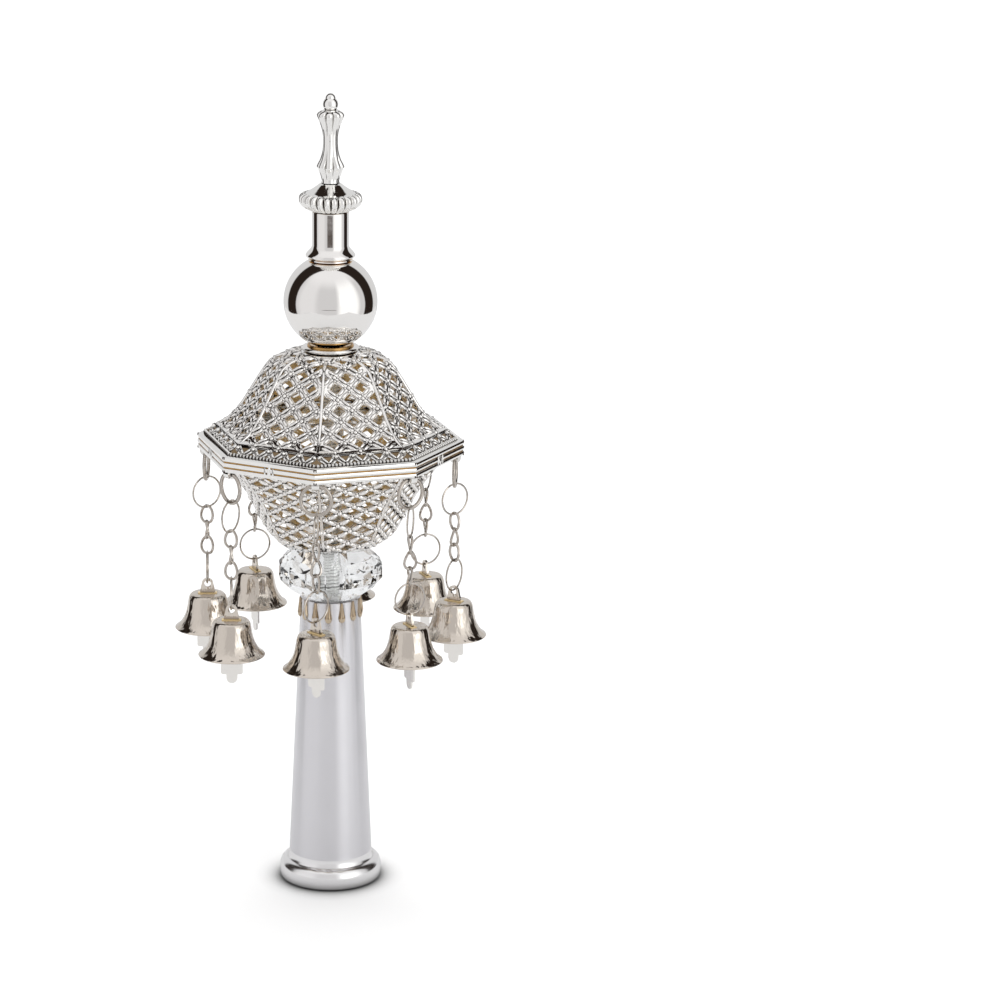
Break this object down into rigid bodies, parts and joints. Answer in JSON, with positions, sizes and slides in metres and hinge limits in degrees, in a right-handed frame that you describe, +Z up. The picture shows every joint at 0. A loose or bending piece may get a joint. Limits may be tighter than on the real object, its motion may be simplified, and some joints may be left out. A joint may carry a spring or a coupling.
{
  "type": "torah finial",
  "caption": "Tall finial: an octagonal openwork lantern hung with bells on chains, a ball and spindle above it, and a clear faceted bead over a tapered hollow staff.",
  "frame": {"origin": "centre of the underside of the foot, on the staff's axis", "axes": "+Z up along the staff; one corner of the octagonal lantern points to -Y, the front"},
  "size_m": [0.1089, 0.109, 0.28],
  "materials": {
    "silver_plate": "polished silver plate on brass",
    "nickel_plate": "polished nickel plate, slightly warm",
    "steel": "bright threaded steel",
    "crystal": "clear faceted crystal"
  },
  "bodies": {
    "root": {"staff": "silver_plate", "threaded_rod": "steel", "crystal": "crystal", "lower_lantern": "silver_plate", "rim": "silver_plate", "upper_lantern": "silver_plate", "collar": "silver_plate", "ball": "silver_plate", "neck": "silver_plate", "knop": "silver_plate", "spindle": "silver_plate", "chain_front": "nickel_plate", "chain_front_right": "nickel_plate", "chain_right": "nickel_plate", "chain_back_right": "nickel_plate", "chain_back": "nickel_plate", "chain_back_left": "nickel_plate", "chain_left": "nickel_plate", "chain_front_left": "nickel_plate", "bell_front": "nickel_plate", "bell_front_right": "nickel_plate", "bell_right": "nickel_plate", "bell_back_right": "nickel_plate", "bell_back": "nickel_plate", "bell_back_left": "nickel_plate", "bell_left": "nickel_plate", "bell_front_left": "nickel_plate", "clapper_front": "nickel_plate", "clapper_front_right": "nickel_plate", "clapper_right": "nickel_plate", "clapper_back_right": "nickel_plate", "clapper_back": "nickel_plate", "clapper_back_left": "nickel_plate", "clapper_left": "nickel_plate", "clapper_front_left": "nickel_plate"}
  },
  "joints": []
}
